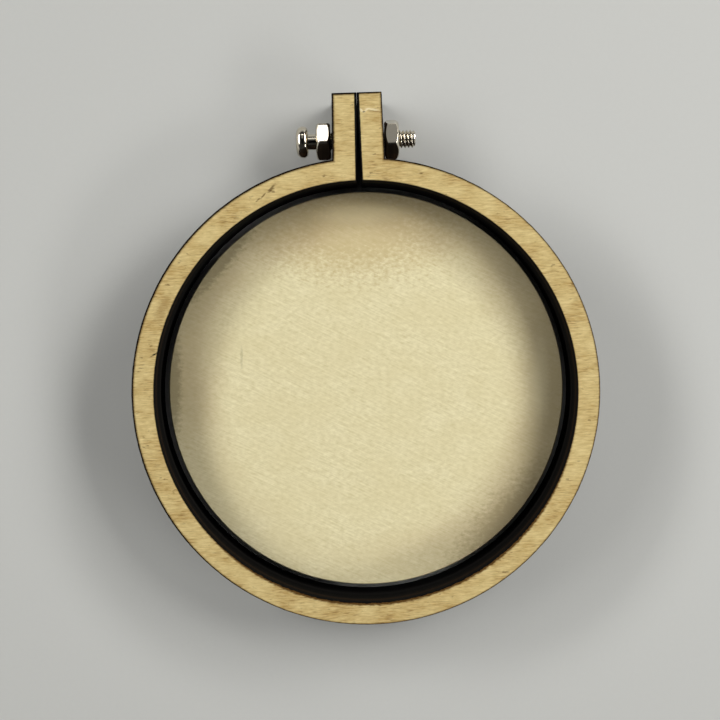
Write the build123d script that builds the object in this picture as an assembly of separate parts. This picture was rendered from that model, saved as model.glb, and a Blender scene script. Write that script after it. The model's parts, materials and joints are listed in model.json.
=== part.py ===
from build123d import *
import math
import os

# A miniature embroidery hoop, lying on its back. The origin is the ring's centre on the surface that it rests on,
# +Y points from the ring to its ears and +Z out of its face. Lengths are in millimetres, angles in degrees.

# Ring, cut from three-ply birch
ring_inner_radius = 23.5
ring_width = 2.6
ring_thickness = 6.0
hinge_relief_angle = 0.2

# Ears, which lean towards each other where the screw has drawn them in
ear_length = 7.05
ear_width = 2.69
slot_width_at_ring = 0.56
slot_width_at_tips = 0.14
ear_hole_clearance = 0.2

# Discs inside the ring
inner_plate_clearance = 1.0
inner_plate_thickness = 2.0
inner_plate_edge_round = 0.15
back_plate_clearance = 1.0
back_plate_thickness = 1.0

# Screw, M2 x 12 with a cross-recessed pan head
screw_radius = 1.0
screw_length = 12.0
thread_pitch = 0.4
thread_depth = 0.2
neck_length = 0.9
neck_radius = 0.86
head_radius = 1.75
head_thickness = 1.35
head_crown_radius = 0.75
head_rim_round = 0.55
recess_span = 1.8
recess_width = 0.42
recess_depth = 0.8
recess_floor_share = 0.35
crest_share = 0.2
root_share = 0.15

# Nuts, M2 hexagons chamfered on both faces
nut_across_flats = 4.0
nut_thickness = 1.6
nut_bore_clearance = 0.03
nut_countersink = 0.15
nut_chamfer_angle = 30.0
nut_face_share = 0.95
nut_shoulder_clearance = 0.16
stop_nut_clearance = 0.16
clamp_nut_clearance = 0.07
stop_nut_turn = 10.0
clamp_nut_turn = 20.0

# How far every cut runs past the face that it opens
overrun = 1.0

# Places that follow from the sizes above
ring_outer_radius = ring_inner_radius + ring_width
tip_y = ring_outer_radius + ear_length
slot_half_at_ring = slot_width_at_ring / 2
slot_narrowing = (slot_width_at_ring - slot_width_at_tips) / 2
ear_lean = math.degrees(math.atan(slot_narrowing / (tip_y - ring_inner_radius)))
nut_flat_radius = nut_across_flats / 2
nut_corner_radius = nut_flat_radius / math.cos(math.pi / 6)
inner_plate_radius = ring_inner_radius - inner_plate_clearance
back_plate_radius = ring_inner_radius - back_plate_clearance


def ear_face_x(y):
    """Distance of an ear's outer face from the middle plane, at a height y along the ear."""
    across = ear_width / math.cos(math.radians(ear_lean))
    return slot_half_at_ring + across - (y - ring_inner_radius) * math.tan(math.radians(ear_lean))


# The screw stands as close to the ring as the nuts' corners allow
shoulder_x = ear_face_x(ring_outer_radius)
shoulder_y = math.sqrt(ring_outer_radius**2 - shoulder_x**2)
screw_y = shoulder_y + nut_corner_radius + nut_shoulder_clearance
screw_z = ring_thickness / 2
stop_nut_x = -(shoulder_x + stop_nut_clearance + nut_thickness)
clamp_nut_x = shoulder_x + clamp_nut_clearance
under_head_x = stop_nut_x - neck_length


def ring_half_outline():
    """Right half of the ring with its ear, seen from above."""
    cover = ring_outer_radius + tip_y
    annulus = Circle(ring_outer_radius) - Circle(ring_inner_radius)
    pivot = Location((0, -ring_outer_radius, 0), (0, 0, -hinge_relief_angle))
    right_side = pivot * Rectangle(cover, 2 * cover, align=(Align.MIN, Align.CENTER))
    foot = Location((slot_half_at_ring, ring_inner_radius, 0), (0, 0, ear_lean))
    ear_reach = (tip_y - ring_inner_radius) / math.cos(math.radians(ear_lean))
    ear = foot * Rectangle(ear_width, ear_reach, align=(Align.MIN, Align.MIN))
    root = foot * Rectangle(ear_width, ring_width, align=(Align.MIN, Align.CENTER))
    slot_room = Pos(Y=-ring_width) * Rectangle(
        cover, ear_reach + ring_width + overrun, align=(Align.MAX, Align.MIN)
    )
    half = (annulus & right_side) + ear + root
    return half - foot * slot_room - Circle(ring_inner_radius)


def screw_axis_cylinder(radius, length, x):
    """Cylinder that runs from x along the screw's axis."""
    place = Location((x, screw_y, screw_z), (0, 90, 0))
    return place * Cylinder(radius, length, align=(Align.CENTER, Align.CENTER, Align.MIN))


def hoop_right_half():
    half = extrude(ring_half_outline(), amount=ring_thickness)
    hole = screw_axis_cylinder(screw_radius + ear_hole_clearance, shoulder_x + 2 * overrun, -overrun)
    return half - hole


def hoop_left_half():
    return mirror(hoop_right_half(), about=Plane.YZ)


def inner_plate_disc():
    """Disc that the fabric is stretched over, its front edge eased by sanding."""
    upright = (Align.CENTER, Align.CENTER, Align.MIN)
    disc = Pos(Z=back_plate_thickness) * Cylinder(inner_plate_radius, inner_plate_thickness, align=upright)
    front_edge = disc.edges().sort_by(Axis.Z)[-1]
    return fillet(front_edge, inner_plate_edge_round)


def back_plate_disc():
    """Thin disc that closes the back of the hoop."""
    return Cylinder(back_plate_radius, back_plate_thickness, align=(Align.CENTER, Align.CENTER, Align.MIN))


def thread_outline():
    """Points along the neck and the thread, as distance along the screw and radius."""
    root_radius = screw_radius - thread_depth
    flank = thread_pitch * (1 - crest_share - root_share) / 2
    crest = thread_pitch * crest_share
    turns = int((screw_length - neck_length) / thread_pitch)
    points = [(0, 0), (0, neck_radius), (neck_length - flank, neck_radius)]
    for turn in range(turns):
        start = neck_length + turn * thread_pitch
        points += [
            (start, root_radius),
            (start + flank, screw_radius),
            (start + flank + crest, screw_radius),
            (start + 2 * flank + crest, root_radius),
        ]
    points += [(screw_length, root_radius), (screw_length, 0)]
    return points


def screw_shank():
    """Neck and thread turned as one, with the thread's crests as closed rings at its true pitch."""
    profile = make_face(Polyline(*thread_outline(), close=True))
    shank = revolve(profile, axis=Axis.X)
    return Pos(under_head_x, screw_y, screw_z) * shank


def screw_head():
    """Pan head with a crowned face and a cross recess."""
    outer_x = under_head_x - head_thickness
    head = screw_axis_cylinder(head_radius, head_thickness, outer_x)
    rims = head.edges().filter_by(GeomType.CIRCLE).sort_by(Axis.X)
    head = fillet(rims[0], head_crown_radius)
    back_rim = head.edges().filter_by(GeomType.CIRCLE).sort_by(Axis.X)[-1]
    head = fillet(back_rim, head_rim_round)
    reach = recess_depth + overrun
    arm = Box(recess_span, recess_width, reach, align=(Align.CENTER, Align.CENTER, Align.MIN))
    cross = arm + Rot(Z=90) * arm
    mouth_radius = recess_span / 2
    cone = Cone(
        mouth_radius * recess_floor_share, mouth_radius, recess_depth, align=(Align.CENTER, Align.CENTER, Align.MIN)
    )
    sink = (cross & cone) + (Pos(Z=recess_depth) * (cross & Cylinder(mouth_radius, overrun)))
    return head - Location((outer_x + recess_depth, screw_y, screw_z), (0, -90, 0)) * sink


def screw_body():
    return screw_shank() + screw_head()


def hexagon_nut(x, turn):
    """Nut whose near face is at x, turned about the screw from standing on a corner."""
    face_radius = nut_flat_radius * nut_face_share
    drop = (nut_corner_radius - face_radius) * math.tan(math.radians(nut_chamfer_angle))
    bore_radius = screw_radius + nut_bore_clearance
    prism = extrude(Plane.YZ * RegularPolygon(nut_corner_radius, 6, rotation=30), amount=nut_thickness)
    turned_outline = [
        (0, 0),
        (0, face_radius),
        (drop, nut_corner_radius),
        (nut_thickness - drop, nut_corner_radius),
        (nut_thickness, face_radius),
        (nut_thickness, 0),
    ]
    chamfered = prism & revolve(make_face(Polyline(*turned_outline, close=True)), axis=Axis.X)
    bore_outline = [
        (0, 0),
        (0, bore_radius + nut_countersink),
        (nut_countersink, bore_radius),
        (nut_thickness - nut_countersink, bore_radius),
        (nut_thickness, bore_radius + nut_countersink),
        (nut_thickness, 0),
    ]
    nut = chamfered - revolve(make_face(Polyline(*bore_outline, close=True)), axis=Axis.X)
    return Pos(x, screw_y, screw_z) * Rot(X=turn) * nut


pieces = {
    "hoop_left": hoop_left_half(),
    "hoop_right": hoop_right_half(),
    "inner_plate": inner_plate_disc(),
    "back_plate": back_plate_disc(),
    "screw": screw_body(),
    "stop_nut": hexagon_nut(stop_nut_x, stop_nut_turn),
    "clamp_nut": hexagon_nut(clamp_nut_x, clamp_nut_turn),
}

for name, piece in pieces.items():
    export_step(piece, f"parts/{name}.step")
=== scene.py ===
import json
import math

import bmesh
import bpy
from mathutils import Matrix, Vector, noise


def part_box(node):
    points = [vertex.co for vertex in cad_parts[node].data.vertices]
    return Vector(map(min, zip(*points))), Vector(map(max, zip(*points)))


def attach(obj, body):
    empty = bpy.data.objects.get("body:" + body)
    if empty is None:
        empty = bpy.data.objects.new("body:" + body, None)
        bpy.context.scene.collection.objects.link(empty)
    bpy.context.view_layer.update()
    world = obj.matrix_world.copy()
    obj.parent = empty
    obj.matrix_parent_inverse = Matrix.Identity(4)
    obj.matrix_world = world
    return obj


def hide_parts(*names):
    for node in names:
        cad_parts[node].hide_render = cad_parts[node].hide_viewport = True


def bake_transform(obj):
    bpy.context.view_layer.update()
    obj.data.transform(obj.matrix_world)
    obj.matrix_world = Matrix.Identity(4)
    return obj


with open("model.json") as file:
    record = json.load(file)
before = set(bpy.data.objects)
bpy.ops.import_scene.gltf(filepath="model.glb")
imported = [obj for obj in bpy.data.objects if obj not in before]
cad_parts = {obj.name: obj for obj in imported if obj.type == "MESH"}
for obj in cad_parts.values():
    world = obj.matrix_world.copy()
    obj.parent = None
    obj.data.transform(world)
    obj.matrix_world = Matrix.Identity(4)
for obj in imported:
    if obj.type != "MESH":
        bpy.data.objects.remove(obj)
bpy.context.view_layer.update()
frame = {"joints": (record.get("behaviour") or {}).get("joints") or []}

# Sizes are in millimetres, as on a drawing. A finished mesh is scaled to metres.
MM = 0.001

ring_inner, ring_outer, ring_height = 23.5, 26.1, 6.0
rim_wear = 0.07
ear_tip_y, ear_width = 33.15, 2.69
slot_half_at_ring, slot_half_at_tips = 0.28, 0.07
ear_lean = (slot_half_at_ring - slot_half_at_tips) / (ear_tip_y - ring_inner)
ear_across = ear_width * math.hypot(1, ear_lean)
# The tips all but touch. The CAD solids keep 0.14 mm between them, so that they never overlap.
tip_gap_half = 0.004
ear_hole_radius = 1.2
# Above this height, and this close to the middle, a point belongs to the ears
ears_from_y, ear_reach_x = 20, 4
# Points closer than this are one point
seam_gap = 0.002
# The laser's path wavers by this much, over this length along the cut and this height of the wall. What
# is closer to a cut than cut_reach goes with it.
waver_depth, waver_length, waver_height = 0.035, 0.7, 5
cut_reach = 0.1

inner_plate_radius, back_plate_radius = 22.5, 22.5
inner_plate_bottom, inner_plate_top = 1.0, 3.0
inner_plate_edge, back_plate_edge = 0.15, 0.06
# How far the char reaches in over each plate's face. On the back plate, which lies in the gap round the
# inner plate, it is partly painted shade
inner_plate_char, back_plate_char_and_shade = 0.025, 0.2
# The inner plate lies loose, a little off the middle
plate_shift = (0.05, 0.17, 0)

# The screw turns about its own axis, and it and the nuts lie where their CAD nodes do
screw_turn = next(joint for joint in frame["joints"] if joint["name"] == "screw_turn")
screw_y, screw_z = (place / MM for place in screw_turn["pos_m"][1:])
thread_radius, thread_root, thread_pitch = 1.0, 0.8, 0.4
neck_radius, neck_length = 0.86, 0.9
head_radius, head_thickness, head_crown, head_rim = 1.75, 1.35, 0.75, 0.55
head_face_x, screw_tip_x = (corner.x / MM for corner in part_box("screw"))
under_head_x = head_face_x + head_thickness
recess_span, recess_width, recess_depth = 1.8, 0.42, 0.8
recess_floor_span_share, recess_floor_width_share = 0.35, 0.75
crest_share, flank_share = 0.2, 0.325
# How far a cutter stands out of the face that it cuts
overrun = 0.5

nut_flat, nut_thickness = 2.0, 1.6
nut_face, nut_bore, nut_sink, nut_edge = 1.84, 1.03, 0.15, 0.05
nut_corner_round, nut_chamfer_angle = 0.09, 35
stop_nut_x, clamp_nut_x = (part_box(node)[0].x / MM for node in ("stop_nut", "clamp_nut"))
stop_nut_turn, clamp_nut_turn = 10, 20


def colour(hex_code):
    """Linear colour of an sRGB hex value."""
    channels = [int(hex_code[i : i + 2], 16) / 255 for i in (1, 3, 5)]
    return tuple(c / 12.92 if c <= 0.04045 else ((c + 0.055) / 1.055) ** 2.4 for c in channels) + (1,)


def add(owner, kind, inputs=None, **settings):
    """Adds a node to a material or the world, with its settings and links, and returns it. A mix of two
    colours has its amount at input 0, the colours at 6 and 7, and the blend at output 2."""
    node = owner.node_tree.nodes.new(kind)
    for name, value in settings.items():
        setattr(node, name, value)
    for name, value in (inputs or {}).items():
        if isinstance(value, bpy.types.NodeSocket):
            owner.node_tree.links.new(value, node.inputs[name])
        else:
            node.inputs[name].default_value = value
    return node


def new_material(name):
    """Material with an empty node tree."""
    material = bpy.data.materials.new(name)
    material.use_nodes = True
    material.node_tree.nodes.clear()
    return material


def grain(material, place, size, detail, roughness=0.5):
    """Socket of a noise whose spots are as long, wide and high as size, in the unit of place."""
    stretched = add(
        material, "ShaderNodeMapping", {"Vector": place, "Scale": tuple(1 / length for length in size)}
    )
    return add(
        material, "ShaderNodeTexNoise",
        {"Vector": stretched.outputs[0], "Scale": 1.0, "Detail": detail, "Roughness": roughness},
    ).outputs["Fac"]


def with_marks(material, face, place, rag, unit, marks):
    """Face with ragged oval spots laid on it. A mark is a colour, its centre, the angle of its length,
    half its length, half its width and its strength. Unit is one millimetre in the unit of place."""
    for tint, centre, angle, half_length, half_width, strength in marks:
        # Much higher than the sheet is thick, so that the spot runs straight through it
        half_height = 1000 * half_length
        spot = add(
            material, "ShaderNodeMapping",
            {"Vector": place, "Location": (centre[0] * unit, centre[1] * unit, 0),
             "Rotation": (0, 0, math.radians(angle)),
             "Scale": (half_length * unit, half_width * unit, half_height * unit)},
            vector_type="TEXTURE",
        )
        away = add(
            material, "ShaderNodeVectorMath", {0: spot.outputs[0]}, operation="LENGTH"
        ).outputs["Value"]
        ragged = add(
            material, "ShaderNodeMath", {0: rag, 1: 1.6, 2: away}, operation="MULTIPLY_ADD"
        ).outputs[0]
        share = add(
            material, "ShaderNodeMapRange",
            {"Value": ragged, "From Min": 1.2, "From Max": 1.8, "To Min": strength, "To Max": 0.0},
        ).outputs["Result"]
        face = add(
            material, "ShaderNodeMix", {0: share, 6: face, 7: colour(tint)}, data_type="RGBA"
        ).outputs[2]
    return face


def birch_face(wood, place):
    """Colour of the bare face, mottled tan with short fibres along X, and the height of its fibres."""
    # Bundles of fibres are 0.2 mm wide and 1.3 mm long. Pores show as brown dashes 0.12 mm wide and 1.2 mm
    # long, close together in some places and rare in others. Birch also has a few dark pith flecks.
    fibres = grain(wood, place, (1.3, 0.2, 0.2), 5.0, 0.7)
    pore_dashes = grain(wood, place, (1.2, 0.12, 0.12), 2.0)
    pith = grain(wood, place, (0.9, 0.45, 0.45), 3.0)
    clouds = grain(wood, place, (3.2, 1.8, 1.8), 3.0, 0.6)

    fibre_tone = add(
        wood, "ShaderNodeMapRange", {"Value": fibres, "From Min": 0.32, "From Max": 0.66}
    ).outputs["Result"]
    fibre_colour = add(
        wood, "ShaderNodeMix",
        {0: fibre_tone, 6: colour("#a68850"), 7: colour("#e2ce95")}, data_type="RGBA",
    ).outputs[2]
    cloud_tone = add(
        wood, "ShaderNodeMapRange", {"Value": clouds, "From Min": 0.34, "From Max": 0.62}
    ).outputs["Result"]
    cloud_colour = add(
        wood, "ShaderNodeMix",
        {0: cloud_tone, 6: colour("#b5924f"), 7: colour("#e0cb8e")}, data_type="RGBA",
    ).outputs[2]
    pore_share = add(
        wood, "ShaderNodeMapRange",
        {"Value": clouds, "From Min": 0.35, "From Max": 0.6, "To Min": 0.75, "To Max": 0.1},
    ).outputs["Result"]
    pore_tone = add(
        wood, "ShaderNodeMapRange", {"Value": pore_dashes, "From Min": 0.53, "From Max": 0.68}
    ).outputs["Result"]
    pores = add(wood, "ShaderNodeMath", {0: pore_tone, 1: pore_share}, operation="MULTIPLY").outputs[0]
    flecks = add(
        wood, "ShaderNodeMapRange", {"Value": pith, "From Min": 0.66, "From Max": 0.76, "To Max": 0.65}
    ).outputs["Result"]
    face = fibre_colour
    for amount, layer in ((0.4, cloud_colour), (pores, colour("#7b5c30")), (flecks, colour("#5b4220"))):
        face = add(wood, "ShaderNodeMix", {0: amount, 6: face, 7: layer}, data_type="RGBA").outputs[2]
    return face, fibres


def inner_char(wood, place, rag):
    """How scorched and how burnt the face is along the inner circle and the slot.

    Along the circle the char is even and 0.13 mm wide, with a faint scorch. At the bottom it is ragged,
    with a brown scorch up to 0.5 mm wide, because the laser lingered there. Beside the slot the char
    widens from 0.13 mm to 0.27 mm at the tips."""
    inner_gap = add(wood, "ShaderNodeAttribute", attribute_name="inner_gap").outputs["Fac"]
    low_side = add(
        wood, "ShaderNodeVectorMath",
        {0: place, 1: (0.2 / ring_inner, -1 / ring_inner, 0)}, operation="DOT_PRODUCT",
    ).outputs["Value"]
    lingered = add(
        wood, "ShaderNodeMapRange",
        {"Value": low_side, "From Min": 0.2, "From Max": 0.95}, interpolation_type="SMOOTHSTEP",
    ).outputs["Result"]
    rag_depth = add(
        wood, "ShaderNodeMapRange", {"Value": lingered, "To Min": 0.05, "To Max": 0.4}
    ).outputs["Result"]
    ragged_gap = add(
        wood, "ShaderNodeMath", {0: rag, 1: rag_depth, 2: inner_gap}, operation="MULTIPLY_ADD"
    ).outputs[0]
    scorch_width = add(
        wood, "ShaderNodeMapRange", {"Value": lingered, "To Min": 0.24, "To Max": 0.5}
    ).outputs["Result"]
    scorch_left = add(
        wood, "ShaderNodeMath", {0: scorch_width, 1: ragged_gap}, operation="SUBTRACT"
    ).outputs[0]
    scorched = add(wood, "ShaderNodeMapRange", {"Value": scorch_left, "From Max": 0.2}).outputs["Result"]

    along_slot = add(wood, "ShaderNodeSeparateXYZ", {"Vector": place}).outputs["Y"]
    slot_char = add(
        wood, "ShaderNodeMapRange",
        {"Value": along_slot, "From Min": ring_inner, "From Max": ear_tip_y, "To Min": 0.0, "To Max": 0.14},
    ).outputs["Result"]
    past_char = add(
        wood, "ShaderNodeMath", {0: ragged_gap, 1: slot_char}, operation="SUBTRACT"
    ).outputs[0]
    burnt = add(
        wood, "ShaderNodeMapRange",
        {"Value": past_char, "From Min": 0.1, "From Max": 0.17, "To Min": 1.0, "To Max": 0.0},
    ).outputs["Result"]
    return scorched, burnt


def inner_wall(wood, place):
    """Colour of the sooty inner wall, on which the plies show as faint bands: brown under the face, and
    a grey glue line at half height."""
    height = add(wood, "ShaderNodeSeparateXYZ", {"Vector": place}).outputs["Z"]
    blackening = colour("#040302")
    for tint, band_start, band_full, band_fading, band_end in (
        ("#12100d", 2.4, 2.8, 2.9, 3.3), ("#1a1008", 4.6, 5.0, 5.1, 5.6),
    ):
        above_start = add(
            wood, "ShaderNodeMapRange", {"Value": height, "From Min": band_start, "From Max": band_full}
        ).outputs["Result"]
        below_end = add(
            wood, "ShaderNodeMapRange",
            {"Value": height, "From Min": band_fading, "From Max": band_end, "To Min": 1.0, "To Max": 0.0},
        ).outputs["Result"]
        band = add(wood, "ShaderNodeMath", {0: above_start, 1: below_end}, operation="MULTIPLY").outputs[0]
        blackening = add(wood, "ShaderNodeMix", {0: band, 6: blackening, 7: colour(tint)}, data_type="RGBA").outputs[2]
    return blackening


def outer_wall(wood, place):
    """Colour of the charred outer wall, which runs in upright strokes 0.35 mm wide. Its middle ply, a
    third of its height, is browner than the other two."""
    strokes = grain(wood, place, (0.35, 0.35, 9), 4.0)
    stroke_tone = add(
        wood, "ShaderNodeMapRange", {"Value": strokes, "From Min": 0.3, "From Max": 0.8}
    ).outputs["Result"]
    outer_plies, middle_ply = (
        add(
            wood, "ShaderNodeMix",
            {0: stroke_tone, 6: colour(dark), 7: colour(light)}, data_type="RGBA",
        ).outputs[2]
        for dark, light in (("#0c0805", "#1f160d"), ("#130c07", "#302115"))
    )
    height = add(wood, "ShaderNodeSeparateXYZ", {"Vector": place}).outputs["Z"]
    past_middle = add(
        wood, "ShaderNodeMath", {0: height, 1: ring_height / 2}, operation="SUBTRACT"
    ).outputs[0]
    from_middle = add(wood, "ShaderNodeMath", {0: past_middle}, operation="ABSOLUTE").outputs[0]
    half_ply, glue_blur = ring_height / 6, 0.08
    on_middle_ply = add(
        wood, "ShaderNodeMapRange",
        {"Value": from_middle, "From Min": half_ply - glue_blur, "From Max": half_ply + glue_blur,
         "To Min": 1.0, "To Max": 0.0},
    ).outputs["Result"]
    return add(
        wood, "ShaderNodeMix", {0: on_middle_ply, 6: outer_plies, 7: middle_ply}, data_type="RGBA"
    ).outputs[2]


def outer_char(wood, place, rag):
    """How scorched and how burnt the face is along the outside, and the colour of the char.

    The dark line along the outside is 0.2 mm wide at the upper left and thins to 0.06 mm at the lower right.
    On the left ear it is 0.2 mm wide, and on the right one 0.13 mm."""
    outer_gap = add(wood, "ShaderNodeAttribute", attribute_name="outer_gap").outputs["Fac"]
    high_side = add(
        wood, "ShaderNodeVectorMath",
        {0: place, 1: (-0.85 / ring_outer, 0.5 / ring_outer, 0)}, operation="DOT_PRODUCT",
    ).outputs["Value"]
    round_width = add(
        wood, "ShaderNodeMapRange",
        {"Value": high_side, "From Min": -0.3, "From Max": 0.7, "To Min": 0.06, "To Max": 0.19},
        interpolation_type="SMOOTHSTEP",
    ).outputs["Result"]
    place_parts = add(wood, "ShaderNodeSeparateXYZ", {"Vector": place})
    on_ear = add(
        wood, "ShaderNodeMapRange",
        {"Value": place_parts.outputs["Y"], "From Min": ring_outer - 0.6, "From Max": ring_outer + 0.4},
    ).outputs["Result"]
    ear_line_width = add(
        wood, "ShaderNodeMapRange",
        {"Value": place_parts.outputs["X"], "From Min": -2, "From Max": 2, "To Min": 0.2, "To Max": 0.13},
    ).outputs["Result"]
    line_width = add(wood, "ShaderNodeMix", {0: on_ear, 2: round_width, 3: ear_line_width}).outputs[0]
    ragged_gap = add(
        wood, "ShaderNodeMath", {0: rag, 1: 0.12, 2: outer_gap}, operation="MULTIPLY_ADD"
    ).outputs[0]
    past_line = add(
        wood, "ShaderNodeMath", {0: ragged_gap, 1: line_width}, operation="SUBTRACT"
    ).outputs[0]
    scorched = add(
        wood, "ShaderNodeMapRange",
        {"Value": past_line, "From Min": 0.02, "From Max": 0.2, "To Min": 0.8, "To Max": 0.0},
    ).outputs["Result"]
    burnt = add(
        wood, "ShaderNodeMapRange",
        {"Value": past_line, "From Min": -0.03, "From Max": 0.06, "To Min": 1.0, "To Max": 0.0},
    ).outputs["Result"]
    on_wall = add(
        wood, "ShaderNodeMapRange", {"Value": outer_gap, "From Max": 0.02, "To Min": 1.0, "To Max": 0.0}
    ).outputs["Result"]
    char = add(
        wood, "ShaderNodeMix",
        {0: on_wall, 6: colour("#140d06"), 7: outer_wall(wood, place)}, data_type="RGBA",
    ).outputs[2]
    return scorched, burnt, char


def laser_cut_birch():
    """Bare birch plywood cut by laser: mottled tan with short fibres along X, a sooty black wall,
    a crisp burnt line round its outside and a brown scorch along the inside, widest at the bottom."""
    wood = new_material("laser_cut_birch_plywood")
    # Where a point of the ring is at rest, in millimetres
    place = add(wood, "ShaderNodeAttribute", attribute_name="rest_place").outputs["Vector"]
    rag = grain(wood, place, (0.6, 0.25, 0.6), 2.0)
    rag_centred = add(wood, "ShaderNodeMath", {0: rag, 1: 0.5}, operation="SUBTRACT").outputs[0]
    face, fibres = birch_face(wood, place)
    # What sets this ring apart: dark flecks at its upper left, a burnt nick and two dashes at its left,
    # brown bands beside the nuts, and a pale chip with a dark curl across the right ear, with a painted
    # shadow under the chip
    face = with_marks(wood, face, place, rag, 1, (
        ("#5b4220", (-9.7, 23.0), 48, 0.75, 0.22, 0.8),
        ("#6b4f26", (-10.6, 22.25), 45, 0.5, 0.14, 0.8),
        ("#6b4f26", (-11.2, 21.8), 40, 0.4, 0.12, 0.7),
        ("#8d6c38", (-22.2, 10.3), 65, 2.2, 0.9, 0.4),
        ("#140d06", (-23.25, 5.2), 24, 0.6, 0.14, 1.0),
        ("#5b4220", (-24.8, 4.06), 2, 0.45, 0.07, 0.8),
        ("#5b4220", (-24.9, 3.7), -3, 0.4, 0.06, 0.7),
        # Brown bands on the ears' faces beside the nuts
        ("#4a3013", (-2.85, 28.1), 91, 2.3, 0.3, 0.75),
        ("#4a3013", (2.9, 28.2), 89, 2.2, 0.2, 0.6),
        # Painted shadow: a dark line just under the pale chip
        ("#7b5c30", (1.8, 31.05), -6, 1.1, 0.12, 0.55),
        ("#eadbb0", (0.42, 31.22), -36, 0.55, 0.16, 0.8),
        ("#eadbb0", (0.96, 31.15), 29, 0.5, 0.16, 0.8),
        ("#eadbb0", (1.9, 31.2), -8, 1.1, 0.13, 0.75),
        ("#3a2810", (0.76, 31.02), 10, 0.25, 0.1, 0.9),
    ))
    inner_scorch, inner_burn = inner_char(wood, place, rag_centred)
    outer_scorch, outer_burn, outer_colour = outer_char(wood, place, rag_centred)
    scorch = add(wood, "ShaderNodeMath", {0: inner_scorch, 1: outer_scorch}, operation="MAXIMUM").outputs[0]
    for amount, layer in (
        (scorch, colour("#5a3f1a")), (outer_burn, outer_colour), (inner_burn, inner_wall(wood, place)),
    ):
        face = add(wood, "ShaderNodeMix", {0: amount, 6: face, 7: layer}, data_type="RGBA").outputs[2]

    relief = add(
        wood, "ShaderNodeBump", {"Height": fibres, "Strength": 0.4, "Distance": 0.04 * MM}
    ).outputs["Normal"]
    shader = add(
        wood, "ShaderNodeBsdfPrincipled",
        {"Base Color": face, "Roughness": 0.8, "IOR": 1.5, "Specular IOR Level": 0.1, "Normal": relief},
    )
    add(wood, "ShaderNodeOutputMaterial", {"Surface": shader.outputs["BSDF"]})
    return wood


def sanded_face(wood, place):
    """Colour of the bare sanded face, the height of its scratches, and its mottle."""
    # Sanding scratches slant by 27 degrees, 0.17 mm wide and 2.4 mm long. Under them lie a mottle of
    # fibres, 0.6 mm long, and clouds 6 mm long.
    turned = add(wood, "ShaderNodeMapping", {"Vector": place, "Rotation": (0, 0, math.radians(27))})
    scratches = grain(wood, turned.outputs[0], (2.4 * MM, 0.17 * MM, MM), 4.0)
    mottle = grain(wood, place, (0.6 * MM, 0.4 * MM, MM), 4.0, 0.6)
    clouds = grain(wood, place, (6 * MM, 3.5 * MM, MM), 3.0)
    scratch_tone = add(
        wood, "ShaderNodeMapRange", {"Value": scratches, "From Min": 0.3, "From Max": 0.7}
    ).outputs["Result"]
    mottle_tone = add(
        wood, "ShaderNodeMapRange", {"Value": mottle, "From Min": 0.33, "From Max": 0.67}
    ).outputs["Result"]
    cloud_tone = add(
        wood, "ShaderNodeMapRange", {"Value": clouds, "From Min": 0.35, "From Max": 0.65, "To Max": 0.4}
    ).outputs["Result"]
    scratched = add(
        wood, "ShaderNodeMix",
        {0: scratch_tone, 6: colour("#cfc393"), 7: colour("#f4ebc4")}, data_type="RGBA",
    ).outputs[2]
    mottled = add(
        wood, "ShaderNodeMix",
        {0: mottle_tone, 6: colour("#d4c797"), 7: colour("#f2e8c1")}, data_type="RGBA",
    ).outputs[2]
    face = scratched
    for amount, layer in ((0.55, mottled), (cloud_tone, colour("#dccfa0"))):
        face = add(wood, "ShaderNodeMix", {0: amount, 6: face, 7: layer}, data_type="RGBA").outputs[2]
    return face, scratches, mottle


def smoke_and_painted_shade(wood, face, place, middle, from_middle, radius):
    """Face darkened from its edge inwards, partly a smoke stain and partly painted shade of the ring's wall:
    olive at the rim and pinkish tan further in, over 2 to 7 mm, and hardly at all at the lower left."""
    drift = grain(wood, place, (7 * MM,) * 3, 3.0)
    smoke_and_shade_reach = add(
        wood, "ShaderNodeMath", {0: drift, 1: 5.5 * MM, 2: from_middle}, operation="MULTIPLY_ADD"
    ).outputs[0]
    side = add(
        wood, "ShaderNodeVectorMath",
        {0: middle, 1: (0.45 / (radius * MM), 0.9 / (radius * MM), 0)}, operation="DOT_PRODUCT",
    ).outputs["Value"]
    side_share = add(
        wood, "ShaderNodeMapRange",
        {"Value": side, "From Min": -0.95, "From Max": -0.3, "To Min": 0.12, "To Max": 1.0},
        interpolation_type="SMOOTHSTEP",
    ).outputs["Result"]
    for tint, start, end, share in (
        ("#bfa67e", radius - 4.4, radius + 1.0, 0.45), ("#857a58", radius - 1.6, radius + 3.4, 0.34),
    ):
        edge = add(
            wood, "ShaderNodeMapRange",
            {"Value": smoke_and_shade_reach, "From Min": start * MM, "From Max": end * MM, "To Max": share},
            interpolation_type="SMOOTHSTEP",
        ).outputs["Result"]
        smoke_and_shade_share = add(wood, "ShaderNodeMath", {0: edge, 1: side_share}, operation="MULTIPLY").outputs[0]
        face = add(wood, "ShaderNodeMix", {0: smoke_and_shade_share, 6: face, 7: colour(tint)}, data_type="RGBA").outputs[2]
    return face


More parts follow.
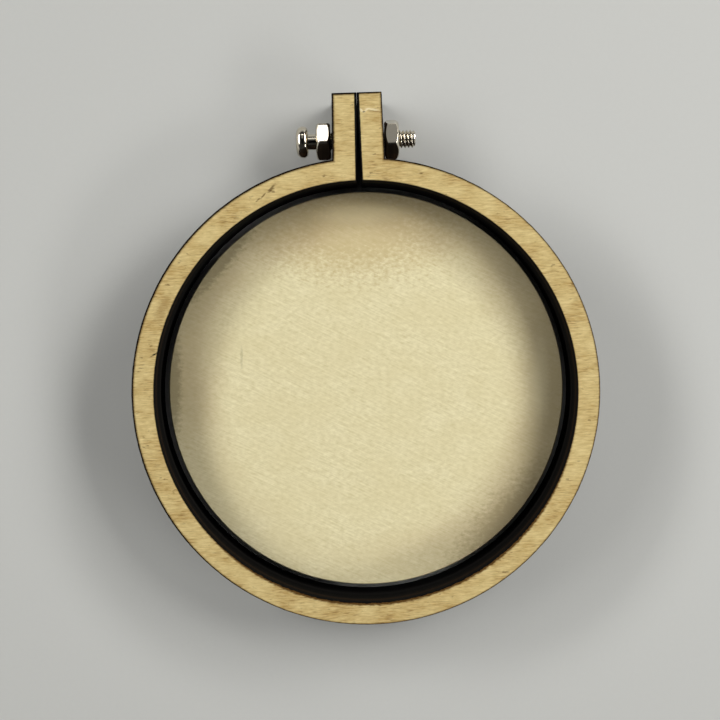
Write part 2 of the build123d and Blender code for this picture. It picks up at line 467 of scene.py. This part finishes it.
def sanded_birch(name, radius, shift, burnt_from):
    """Bare birch plywood sanded by hand: pale cream, mottled, with fine slanting scratches, darkened towards
    the edge that the laser cut by smoke stain and painted shade, and burnt black on the cut itself, outside
    the radius burnt_from."""
    wood = new_material(name)
    place = add(wood, "ShaderNodeTexCoord").outputs["Object"]
    flat = add(wood, "ShaderNodeVectorMath", {0: place, 1: (1, 1, 0)}, operation="MULTIPLY").outputs[0]
    middle = add(
        wood, "ShaderNodeVectorMath",
        {0: flat, 1: (shift[0] * MM, shift[1] * MM, 0)}, operation="SUBTRACT",
    ).outputs[0]
    from_middle = add(wood, "ShaderNodeVectorMath", {0: middle}, operation="LENGTH").outputs["Value"]

    face, scratches, mottle = sanded_face(wood, place)
    # A faint stain along the fibres left of the middle, a warm patch near the ears, and painted shade on the
    # rim at the lower right
    face = with_marks(wood, face, place, mottle, MM, (
        ("#8c8460", (-14.03, 4.5), 88, 1.5, 0.2, 0.3),
        ("#b89a63", (-0.5, 18.5), 0, 13, 6.5, 0.4),
        ("#6f6648", (16.0, -15.4), 46, 11, 3.6, 0.45),
    ))
    # Painted shade of the ring's wall along the rim, with some smoke stain
    face = smoke_and_painted_shade(wood, face, place, middle, from_middle, radius)
    # Painted light and shade on the rim: pale patches at the right and below the ears lighten the wall's
    # shadow there, and dark patches along the rim at the left are painted shade
    face = with_marks(wood, face, place, mottle, MM, (
        ("#e6dab0", (20.0, 0.5), 90, 6, 1.2, 0.4),
        ("#e0d0a2", (0.0, 20.3), 0, 6, 1.2, 0.5),
        ("#4f472e", (-16.1, 15.0), 47, 8, 1.1, 0.4),
        ("#4f472e", (-21.9, 1.2), 87, 8, 1.1, 0.4),
    ))

    # The char reaches further in at the foot of the edge. On the back plate this black band, which lies in
    # the gap round the inner plate, is partly char and partly painted shade
    height = add(wood, "ShaderNodeSeparateXYZ", {"Vector": place}).outputs["Z"]
    char_and_shade_start = add(
        wood, "ShaderNodeMapRange",
        {"Value": height, "From Min": 0.3 * MM, "From Max": 0.7 * MM,
         "To Min": (radius - 0.12) * MM, "To Max": burnt_from * MM},
    ).outputs["Result"]
    past_start = add(
        wood, "ShaderNodeMath", {0: from_middle, 1: char_and_shade_start}, operation="SUBTRACT"
    ).outputs[0]
    burnt = add(
        wood, "ShaderNodeMapRange", {"Value": past_start, "From Min": 0.0, "From Max": 0.02 * MM}
    ).outputs["Result"]
    surface = add(
        wood, "ShaderNodeMix", {0: burnt, 6: face, 7: colour("#040302")}, data_type="RGBA"
    ).outputs[2]
    relief = add(
        wood, "ShaderNodeBump", {"Height": scratches, "Strength": 0.3, "Distance": 0.02 * MM}
    ).outputs["Normal"]
    shader = add(
        wood, "ShaderNodeBsdfPrincipled",
        {"Base Color": surface, "Roughness": 0.8, "IOR": 1.5, "Specular IOR Level": 0.1, "Normal": relief},
    )
    add(wood, "ShaderNodeOutputMaterial", {"Surface": shader.outputs["BSDF"]})
    return wood


def nickel_plated_steel():
    """Machined steel with bright nickel plating: a warm grey mirror, faintly uneven from tumbling."""
    metal = new_material("bright_nickel_plated_steel")
    place = add(metal, "ShaderNodeTexCoord").outputs["Object"]
    # Tumbling leaves soft dents about 0.5 mm across
    dents = add(
        metal, "ShaderNodeTexNoise", {"Vector": place, "Scale": 1 / (0.5 * MM), "Detail": 2.0}
    ).outputs["Fac"]
    polish = add(
        metal, "ShaderNodeMapRange",
        {"Value": dents, "From Min": 0.35, "From Max": 0.65, "To Min": 0.1, "To Max": 0.16},
    ).outputs["Result"]
    tone = add(
        metal, "ShaderNodeMix",
        {0: dents, 6: colour("#cbc2b0"), 7: colour("#d9d1bf")}, data_type="RGBA",
    ).outputs[2]
    # Painted shade: the thread between the nuts, deep in the ears' hole and slot, is painted near black
    across = add(metal, "ShaderNodeSeparateXYZ", {"Vector": place}).outputs["X"]
    from_slot = add(metal, "ShaderNodeMath", {0: across}, operation="ABSOLUTE").outputs[0]
    blackening = add(
        metal, "ShaderNodeMapRange",
        {"Value": from_slot, "From Min": 2.6 * MM, "From Max": 2.9 * MM, "To Min": 1.0, "To Max": 0.0},
    ).outputs["Result"]
    tone = add(
        metal, "ShaderNodeMix",
        {0: blackening, 6: tone, 7: colour("#0a0806")}, data_type="RGBA",
    ).outputs[2]
    shader = add(
        metal, "ShaderNodeBsdfPrincipled", {"Base Color": tone, "Metallic": 1.0, "Roughness": polish}
    )
    add(metal, "ShaderNodeOutputMaterial", {"Surface": shader.outputs["BSDF"]})
    return metal


def matt_board():
    """Pale grey mount board, its surface a felt of paper fibres that only just shows."""
    board = new_material("matt_board")
    place = add(board, "ShaderNodeTexCoord").outputs["Object"]
    # Clumps of paper fibre are about 0.5 mm across
    felt = grain(board, place, (0.5 * MM,) * 3, 2.0)
    felt_tone = add(board, "ShaderNodeMath", {0: felt, 1: 0.04}, operation="MULTIPLY").outputs[0]
    shade = add(
        board, "ShaderNodeMix", {0: felt_tone, 6: colour("#c6c6c1"), 7: colour("#808080")}, data_type="RGBA"
    ).outputs[2]
    shader = add(board, "ShaderNodeBsdfPrincipled", {"Base Color": shade, "Roughness": 0.8})
    add(board, "ShaderNodeOutputMaterial", {"Surface": shader.outputs["BSDF"]})
    return board


def made_object(name, bm):
    """Object of a bmesh, linked to the scene."""
    mesh = bpy.data.meshes.new(name)
    bm.to_mesh(mesh)
    bm.free()
    made = bpy.data.objects.new(name, mesh)
    bpy.context.scene.collection.objects.link(made)
    return made


def cut_away(blank, cutter):
    """Cuts the cutter's shape out of the blank, and returns the result as a bmesh."""
    blank_object = made_object("blank", blank)
    cutter_object = made_object("cutter", cutter)
    cut = blank_object.modifiers.new("cut", "BOOLEAN")
    cut.operation = "DIFFERENCE"
    cut.solver = "EXACT"
    cut.object = cutter_object
    result = bpy.data.meshes.new_from_object(
        blank_object.evaluated_get(bpy.context.evaluated_depsgraph_get())
    )
    bm = bmesh.new()
    bm.from_mesh(result)
    bpy.data.objects.remove(blank_object)
    bpy.data.objects.remove(cutter_object)
    bpy.data.meshes.remove(result)
    return bm


def finished_piece(name, bm, material, stands_for, smooth_under=40):
    """Piece in metres, shaded smooth up to an angle, that stands for its CAD nodes."""
    bmesh.ops.scale(bm, vec=(MM, MM, MM), verts=bm.verts)
    piece = made_object(name, bm)
    piece.data.materials.append(material)
    piece.data.shade_smooth()
    piece.data.set_sharp_from_angle(angle=math.radians(smooth_under))
    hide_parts(*stands_for)
    return piece


def slot_half(y):
    """Half the width of the slot at the height y."""
    share = (y - ring_inner) / (ear_tip_y - ring_inner)
    return slot_half_at_ring + share * (tip_gap_half - slot_half_at_ring)


def ear_face(y):
    """Distance of an ear's outer face from the middle at the height y."""
    return slot_half_at_ring + ear_across - (y - ring_inner) * ear_lean


def point_between(first, second, share):
    """Point at a share of the way from the first to the second."""
    return (first[0] + (second[0] - first[0]) * share, first[1] + (second[1] - first[1]) * share)


def ring_blank():
    """Ring and ears as a closed solid of quads."""
    bm = bmesh.new()
    # Rows of quads across the ring's band, as shares of its width
    shares = [0, 0.08, 0.18, 0.3, 0.42, 0.5, 0.58, 0.7, 0.82, 0.92, 1]
    rows_on_ring = len(shares) - 1
    rows_on_ear = 60
    columns_on_ear = 20
    steps_round_half = 345

    def across(u, y):
        """Distance from the middle at the share u of an ear's width."""
        return slot_half(y) + u * (ear_face(y) - slot_half(y))

    def ear_foot(u):
        """Where the share u of an ear's width meets the inner circle. Each round closes in on it."""
        y = ring_inner
        for _ in range(3):
            y = math.sqrt(ring_inner**2 - across(u, y) ** 2)
        return (across(u, y), y)

    # The height at which an ear's outer face meets the ring's outside, closed in on in the same way
    shoulder_y = ring_outer
    for _ in range(6):
        shoulder_y = math.sqrt(ring_outer**2 - ear_face(shoulder_y) ** 2)

    def ear_point(u, row):
        """Place of a grid point on the ear, in rows from the inner circle to the tip."""
        level = (across(u, shoulder_y), shoulder_y)
        if row <= rows_on_ring:
            return point_between(ear_foot(u), level, shares[row])
        y = shoulder_y + (ear_tip_y - shoulder_y) * (row - rows_on_ring) / rows_on_ear
        return (across(u, y), y)

    # Right half of the band, spun from the bottom up to the ear
    section = [bm.verts.new((0, -ring_inner - share * (ring_outer - ring_inner), 0)) for share in shares]
    line = [bm.edges.new(pair) for pair in zip(section, section[1:])]
    foot = ear_foot(1)
    sweep = math.atan2(foot[1], foot[0]) + math.pi / 2
    spun = bmesh.ops.spin(bm, geom=line, cent=(0, 0, 0), axis=(0, 0, 1), angle=sweep, steps=steps_round_half)
    last = [part for part in spun["geom_last"] if isinstance(part, bmesh.types.BMVert)]
    for vert in last:
        share = (math.hypot(vert.co.x, vert.co.y) - ring_inner) / (ring_outer - ring_inner)
        row = min(range(len(shares)), key=lambda i: abs(shares[i] - share))
        vert.co = (*ear_point(1, row), 0)

    # Right ear, a grid that meets the band along the ear's outer face
    rows = rows_on_ring + rows_on_ear
    grid = bmesh.ops.create_grid(bm, x_segments=columns_on_ear, y_segments=rows, size=0.5)["verts"]
    for vert in grid:
        u, v = vert.co.x + 0.5, vert.co.y + 0.5
        vert.co = (*ear_point(u, round(v * rows)), 0)

    bmesh.ops.remove_doubles(bm, verts=bm.verts, dist=seam_gap)
    bmesh.ops.mirror(bm, geom=bm.verts[:] + bm.edges[:] + bm.faces[:], axis="X", merge_dist=seam_gap)
    bmesh.ops.remove_doubles(bm, verts=bm.verts, dist=seam_gap)
    bmesh.ops.recalc_face_normals(bm, faces=bm.faces)
    raised = bmesh.ops.extrude_face_region(bm, geom=bm.faces[:], use_keep_orig=True)["geom"]
    face_verts = [part for part in raised if isinstance(part, bmesh.types.BMVert)]
    bmesh.ops.translate(bm, vec=(0, 0, ring_height), verts=face_verts)
    bmesh.ops.recalc_face_normals(bm, faces=bm.faces)
    square_corner = math.radians(57)
    corners = [edge for edge in bm.edges if edge.is_manifold and edge.calc_face_angle() > square_corner]
    bmesh.ops.bevel(
        bm, geom=corners, offset=rim_wear, offset_type="OFFSET", segments=2, profile=0.5,
        affect="EDGES", material=-1,
    )
    return bm


def gaps_to_cuts(x, y):
    """Distance in from the outer outline, and from the inner circle or the slot."""
    radius = math.hypot(x, y)
    outer, inner = ring_outer - radius, radius - ring_inner
    if y > ears_from_y:
        to_face = (ear_face(y) - abs(x)) / math.hypot(1, ear_lean)
        outer = max(outer, min(to_face, ear_tip_y - y))
        inner = min(inner, abs(x) - slot_half(y))
    return max(outer, 0), max(inner, 0)


def ring_with_ears(material):
    """One rigid piece of plywood for the ring and its ears. The real ring bends at its bottom, where the
    screw opens and closes it.
    """
    bm = ring_blank()
    drill = bmesh.new()
    bmesh.ops.create_cone(
        drill, cap_ends=True, segments=48, radius1=ear_hole_radius, radius2=ear_hole_radius,
        depth=2 * ear_reach_x,
    )
    bmesh.ops.rotate(drill, cent=(0, 0, 0), matrix=Matrix.Rotation(math.pi / 2, 3, "Y"), verts=drill.verts)
    bmesh.ops.translate(drill, vec=(0, screw_y, screw_z), verts=drill.verts)
    bm = cut_away(bm, drill)

    rest_place = bm.verts.layers.float_vector.new("rest_place")
    outer_layer = bm.verts.layers.float.new("outer_gap")
    inner_layer = bm.verts.layers.float.new("inner_gap")
    for vert in bm.verts:
        vert[rest_place] = vert.co
        vert[outer_layer], vert[inner_layer] = gaps_to_cuts(vert.co.x, vert.co.y)
        # The laser's path wavers, always into the wood, and less where the slot closes
        if min(vert[outer_layer], vert[inner_layer]) < cut_reach:
            x, y, z = vert.co
            waver = noise.noise(Vector((x / waver_length, y / waver_length, z / waver_height)))
            depth = waver_depth * (0.5 + 0.5 * waver)
            if abs(x) < 1 and y > ears_from_y:
                depth *= slot_half(y) / slot_half_at_ring
            outward = Vector((x, y, 0)).normalized()
            if y > ears_from_y and abs(x) < ear_reach_x:
                outward = Vector((math.copysign(1, x), 0, 0))
            inwards = outward if vert[inner_layer] < vert[outer_layer] else -outward
            vert.co += inwards * depth
    bmesh.ops.recalc_face_normals(bm, faces=bm.faces)
    piece = finished_piece("birch_ring_with_ears", bm, material, ["hoop_left", "hoop_right"])
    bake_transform(piece)
    return piece


def turned_disc(radius, bottom, top, edge_round):
    """Disc with eased edges, spun about Z."""
    bm = bmesh.new()
    outline = [(0, top), (radius * 0.35, top), (radius * 0.7, top)]
    for step in range(5):
        turn = math.pi / 2 * step / 4
        outline.append((
            radius - edge_round * (1 - math.sin(turn)),
            top - edge_round * (1 - math.cos(turn)),
        ))
    small = edge_round / 3
    outline += [(radius, bottom + small), (radius - small, bottom), (radius * 0.7, bottom), (0, bottom)]
    verts = [bm.verts.new((r, 0, z)) for r, z in outline]
    edges = [bm.edges.new(pair) for pair in zip(verts, verts[1:])]
    bmesh.ops.spin(
        bm, geom=edges, cent=(0, 0, 0), axis=(0, 0, 1), angle=2 * math.pi, steps=256, use_merge=True
    )
    bmesh.ops.remove_doubles(bm, verts=bm.verts, dist=0.001)
    bmesh.ops.recalc_face_normals(bm, faces=bm.faces)
    return bm


def inner_plate(material):
    """Disc that the fabric is stretched over."""
    bm = turned_disc(inner_plate_radius, inner_plate_bottom, inner_plate_top, inner_plate_edge)
    bmesh.ops.translate(bm, vec=plate_shift, verts=bm.verts)
    piece = finished_piece("sanded_inner_plate", bm, material, ["inner_plate"])
    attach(piece, "inner_plate")
    return piece


def back_plate(material):
    """Thin disc that closes the back."""
    bm = turned_disc(back_plate_radius, 0, inner_plate_bottom, back_plate_edge)
    piece = finished_piece("thin_back_plate", bm, material, ["back_plate"])
    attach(piece, "back_plate")
    return piece


def screw_head():
    """Pan head with a crowned face and a cross recess, spun about X."""
    bm = bmesh.new()
    outline = [(under_head_x, 0), (under_head_x, thread_root)]
    for step in range(7):
        turn = math.pi / 2 * step / 6
        outline.append((
            under_head_x - head_rim * (1 - math.cos(turn)),
            head_radius - head_rim * (1 - math.sin(turn)),
        ))
    for step in range(13):
        turn = math.pi / 2 * step / 12
        outline.append((
            head_face_x + head_crown * (1 - math.sin(turn)),
            head_radius - head_crown * (1 - math.cos(turn)),
        ))
    outline += [(head_face_x, thread_root / 2), (head_face_x, 0)]
    verts = [bm.verts.new((x, radius, 0)) for x, radius in outline]
    edges = [bm.edges.new(pair) for pair in zip(verts, verts[1:])]
    bmesh.ops.spin(
        bm, geom=edges, cent=(0, 0, 0), axis=(1, 0, 0), angle=2 * math.pi, steps=72, use_merge=True
    )
    bmesh.ops.remove_doubles(bm, verts=bm.verts, dist=0.001)
    bmesh.ops.recalc_face_normals(bm, faces=bm.faces)
    # The recess is two crossed slots that narrow towards their floor
    for quarter in range(2):
        wing = bmesh.new()
        bmesh.ops.create_cube(wing, size=1)
        for vert in wing.verts:
            deep = vert.co.x > 0
            vert.co.x = head_face_x + (recess_depth if deep else -overrun)
            vert.co.y *= recess_span * (recess_floor_span_share if deep else 1)
            vert.co.z *= recess_width * (recess_floor_width_share if deep else 1)
        turn = Matrix.Rotation(math.pi / 4 + quarter * math.pi / 2, 3, "X")
        bmesh.ops.rotate(wing, cent=(0, 0, 0), matrix=turn, verts=wing.verts)
        bmesh.ops.recalc_face_normals(wing, faces=wing.faces)
        bm = cut_away(bm, wing)
    return bm


def screw_shank():
    """Neck and right-hand thread, one helical surface spun about X."""
    bm = bmesh.new()
    neck_end = under_head_x + neck_length
    flank, crest = thread_pitch * flank_share, thread_pitch * crest_share
    turns = math.ceil((screw_tip_x - neck_end) / thread_pitch) + 3
    steps = 60
    outline = []
    for turn in range(turns):
        x = neck_end + (turn - 2) * thread_pitch
        outline += [
            (x, thread_root), (x + flank / 2, (thread_root + thread_radius) / 2),
            (x + flank, thread_radius), (x + flank + crest, thread_radius),
            (x + 1.5 * flank + crest, (thread_root + thread_radius) / 2),
            (x + 2 * flank + crest, thread_root),
        ]
    outline.append((outline[-1][0] + thread_pitch - 2 * flank - crest, thread_root))
    verts = [bm.verts.new((x, radius, 0)) for x, radius in outline]
    edges = [bm.edges.new(pair) for pair in zip(verts, verts[1:])]
    bmesh.ops.spin(
        bm, geom=edges, cent=(0, 0, 0), axis=(1, 0, 0), dvec=(thread_pitch / steps, 0, 0),
        angle=2 * math.pi, steps=steps,
    )
    bmesh.ops.remove_doubles(bm, verts=bm.verts, dist=0.004)
    # The thread rises out of the neck over one turn, and the tip is chamfered by 45 degrees
    for vert in bm.verts:
        radius = math.hypot(vert.co.y, vert.co.z)
        run_in = min(max((vert.co.x - neck_end) / thread_pitch, 0), 1)
        wanted = neck_radius + (radius - neck_radius) * run_in
        wanted = min(wanted, thread_root + max(screw_tip_x - vert.co.x, 0))
        vert.co.y *= wanted / radius
        vert.co.z *= wanted / radius
    # The spiral is cut off square at both ends, and the neck drawn out into the head
    lap = 0.1
    for x, outwards in ((neck_end - lap, -1), (screw_tip_x, 1)):
        bmesh.ops.bisect_plane(
            bm, geom=bm.verts[:] + bm.edges[:] + bm.faces[:], plane_co=(x, 0, 0),
            plane_no=(outwards, 0, 0), clear_outer=True,
        )
    rim = [edge for edge in bm.edges if edge.is_boundary and edge.verts[0].co.x < 0]
    drawn = bmesh.ops.extrude_edge_only(bm, edges=rim)["geom"]
    for vert in drawn:
        if isinstance(vert, bmesh.types.BMVert):
            vert.co.x = under_head_x - lap
    bmesh.ops.holes_fill(bm, edges=[edge for edge in bm.edges if edge.is_boundary], sides=0)
    bmesh.ops.recalc_face_normals(bm, faces=bm.faces)
    return bm


def machine_screw(material):
    """Screw, its shank and head as one piece."""
    bm = screw_shank()
    head = bpy.data.meshes.new("head")
    head_shape = screw_head()
    head_shape.to_mesh(head)
    head_shape.free()
    bm.from_mesh(head)
    bpy.data.meshes.remove(head)
    bmesh.ops.translate(bm, vec=(0, screw_y, screw_z), verts=bm.verts)
    piece = finished_piece("pan_head_screw", bm, material, ["screw"], smooth_under=62)
    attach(piece, "screw")
    return piece


def hexagon_nut(name, near_x, turn, material, node, body):
    """Chamfered hexagon nut, drawn out loop by loop from its outline."""
    bm = bmesh.new()
    corner_radius = nut_flat / math.cos(math.pi / 6)
    bmesh.ops.create_circle(bm, cap_ends=True, segments=6, radius=corner_radius)
    # The circle's corners start on Y, and the nut's stand on X
    bmesh.ops.rotate(bm, cent=(0, 0, 0), matrix=Matrix.Rotation(math.pi / 6, 3, "Z"), verts=bm.verts)
    bmesh.ops.bevel(
        bm, geom=bm.verts[:], offset=nut_corner_round, offset_type="OFFSET", segments=4, profile=0.5,
        affect="VERTICES", material=-1,
    )
    # The flats are cut up finely, so that the chamfer can curve across them
    flats = [edge for edge in bm.edges if edge.calc_length() > nut_flat / 2]
    bmesh.ops.subdivide_edges(bm, edges=flats, cuts=14)
    bmesh.ops.delete(bm, geom=bm.faces[:], context="FACES_ONLY")
    outline_radius = bm.verts.layers.float.new("outline_radius")
    for vert in bm.verts:
        vert[outline_radius] = vert.co.xy.length
    slope = math.tan(math.radians(nut_chamfer_angle))

    # The face turns into the chamfer between these two radii
    face_end, chamfer_start = nut_face - 0.03, nut_face + 0.02

    def drop(radius):
        """How far the chamfer lies below the face at a radius."""
        return max(radius - nut_face, 0) * slope

    # Radius and height of each loop, from one end of the bore out and round to the other end
    near_half = [
        lambda r: (nut_bore, nut_sink),
        lambda r: (nut_bore + nut_sink, 0),
        lambda r: (face_end, 0),
        lambda r: (chamfer_start, drop(chamfer_start)),
        lambda r: (r - nut_edge, drop(r - nut_edge)),
        lambda r: (r, drop(r) + nut_edge),
    ]
    loops = [(rule, False) for rule in near_half] + [(rule, True) for rule in reversed(near_half)]
    loops.append(loops[0])
    edges = bm.edges[:]
    verts = bm.verts[:]
    for number, (rule, far) in enumerate(loops):
        if number:
            drawn = bmesh.ops.extrude_edge_only(bm, edges=edges)["geom"]
            edges = [part for part in drawn if isinstance(part, bmesh.types.BMEdge)]
            verts = [part for part in drawn if isinstance(part, bmesh.types.BMVert)]
        for vert in verts:
            radius, height = rule(vert[outline_radius])
            vert.co.xy *= radius / vert.co.xy.length
            vert.co.z = nut_thickness - height if far else height
    bmesh.ops.remove_doubles(bm, verts=bm.verts, dist=0.0005)
    bmesh.ops.recalc_face_normals(bm, faces=bm.faces)
    bmesh.ops.rotate(bm, cent=(0, 0, 0), matrix=Matrix.Rotation(math.pi / 2, 3, "Y"), verts=bm.verts)
    bmesh.ops.rotate(
        bm, cent=(0, 0, 0), matrix=Matrix.Rotation(math.radians(turn), 3, "X"), verts=bm.verts
    )
    bmesh.ops.translate(bm, vec=(near_x, screw_y, screw_z), verts=bm.verts)
    piece = finished_piece(name, bm, material, [node], smooth_under=28)
    piece.modifiers.new("flat_faces", "WEIGHTED_NORMAL").keep_sharp = True
    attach(piece, body)
    return piece


def soft_light(name, azimuth, elevation, distance, width, height, power):
    """White softbox with a grid, which faces the hoop. Its azimuth runs from +X towards +Y. Angles are in
    degrees, lengths in metres and the power in watts."""
    box = bpy.data.lights.new(name, "AREA")
    box.shape = "RECTANGLE"
    box.size, box.size_y = width, height
    box.energy = power
    box.spread = math.radians(60)
    lamp = bpy.data.objects.new(name, box)
    bpy.context.scene.collection.objects.link(lamp)
    turn, rise = math.radians(azimuth), math.radians(elevation)
    direction = Vector((math.cos(turn) * math.cos(rise), math.sin(turn) * math.cos(rise), math.sin(rise)))
    lamp.location = direction * distance
    lamp.rotation_euler = direction.to_track_quat("Z", "Y").to_euler()
    return lamp


def pale_floor():
    """Round board, which ends where the lamps' light does, a hair below the hoop."""
    board_radius, hair = 220 * MM, 0.03 * MM
    bm = bmesh.new()
    bmesh.ops.create_circle(bm, cap_ends=True, segments=128, radius=board_radius)
    bmesh.ops.translate(bm, vec=(0, 0, -hair), verts=bm.verts)
    floor = made_object("pale_floor", bm)
    floor.data.materials.append(matt_board())


def studio():
    """Soft room and lamps."""
    world = bpy.data.worlds.new("soft_room")
    bpy.context.scene.world = world
    world.use_nodes = True
    world.node_tree.nodes.clear()
    # Nothing shines from straight above, where the camera hangs. A patch of ceiling beyond the ears glows,
    # and a pale wall runs round the room at the height of the horizon.
    direction = add(world, "ShaderNodeTexCoord").outputs["Generated"]
    towards_patch = add(
        world, "ShaderNodeVectorMath", {0: direction, 1: (0, 0.49, 0.87)}, operation="DOT_PRODUCT"
    ).outputs["Value"]
    ceiling = add(
        world, "ShaderNodeMapRange",
        {"Value": towards_patch, "From Min": 0.95, "From Max": 0.985, "To Min": 0.04, "To Max": 0.38},
    ).outputs["Result"]
    height = add(world, "ShaderNodeSeparateXYZ", {"Vector": direction}).outputs["Z"]
    overhead = add(
        world, "ShaderNodeMapRange",
        {"Value": height, "From Min": 0.88, "From Max": 0.96, "To Min": 1.0, "To Max": 0.0},
    ).outputs["Result"]
    room = add(world, "ShaderNodeMath", {0: overhead, 1: ceiling}, operation="MULTIPLY").outputs[0]
    wall = add(
        world, "ShaderNodeMapRange",
        {"Value": height, "From Min": 0.1, "From Max": 0.3, "To Min": 0.6, "To Max": 0.0},
    ).outputs["Result"]
    strength = add(world, "ShaderNodeMath", {0: room, 1: wall}, operation="MAXIMUM").outputs[0]
    backdrop = add(world, "ShaderNodeBackground", {"Color": colour("#f4f5f6"), "Strength": strength})
    add(world, "ShaderNodeOutputWorld", {"Surface": backdrop.outputs[0]})
    # Windows at both sides stand too low to light the floor in the gap round the plate. The strip and the
    # glint are for the metal.
    soft_light("window_right", 20, 30, 0.50, 0.28, 0.18, 0.200)
    soft_light("window_right_low", 40, 24, 0.50, 0.28, 0.07, 0.115)
    soft_light("window_corner", 330, 25, 0.50, 0.28, 0.07, 0.090)
    soft_light("window_left", 174, 29, 0.70, 0.40, 0.18, 0.180)
    soft_light("window_left_low", 148, 23, 0.70, 0.40, 0.10, 0.310)
    soft_light("strip_above", 91, 39, 0.40, 0.20, 0.036, 0.0082)
    soft_light("glint", 27, 38, 0.40, 0.04, 0.04, 0.0016)


def photograph_camera():
    """Camera that hangs 114 mm above the floor and nearly straight over the hoop, as in the photograph."""
    camera_data = bpy.data.cameras.new("camera")
    camera_data.sensor_width = 36
    camera_data.lens = 48.65
    camera_data.clip_start = 0.01
    camera = bpy.data.objects.new("camera", camera_data)
    bpy.context.scene.collection.objects.link(camera)
    to_view = (
        Matrix.Rotation(math.radians(3.34), 3, "X")
        @ Matrix.Rotation(math.radians(0.12), 3, "Y")
        @ Matrix.Rotation(math.radians(1.81), 3, "Z")
    )
    place = Vector((-0.57, 10.14, 113.81)) * MM
    camera.matrix_world = Matrix.Translation(place) @ to_view.transposed().to_4x4()
    bpy.context.scene.camera = camera


bpy.context.scene.view_settings.view_transform = "Standard"
ring_wood = laser_cut_birch()
plate_wood = sanded_birch(
    "sanded_birch_plywood", inner_plate_radius, plate_shift, inner_plate_radius - inner_plate_char
)
back_wood = sanded_birch(
    "thin_birch_plywood", back_plate_radius, (0, 0, 0), back_plate_radius - back_plate_char_and_shade
)
steel = nickel_plated_steel()
ring_with_ears(ring_wood)
inner_plate(plate_wood)
back_plate(back_wood)
machine_screw(steel)
hexagon_nut("stop_nut_at_head", stop_nut_x, stop_nut_turn, steel, "stop_nut", "screw")
hexagon_nut("clamp_nut_at_tip", clamp_nut_x, clamp_nut_turn, steel, "clamp_nut", "clamp_nut")
pale_floor()
studio()
photograph_camera()
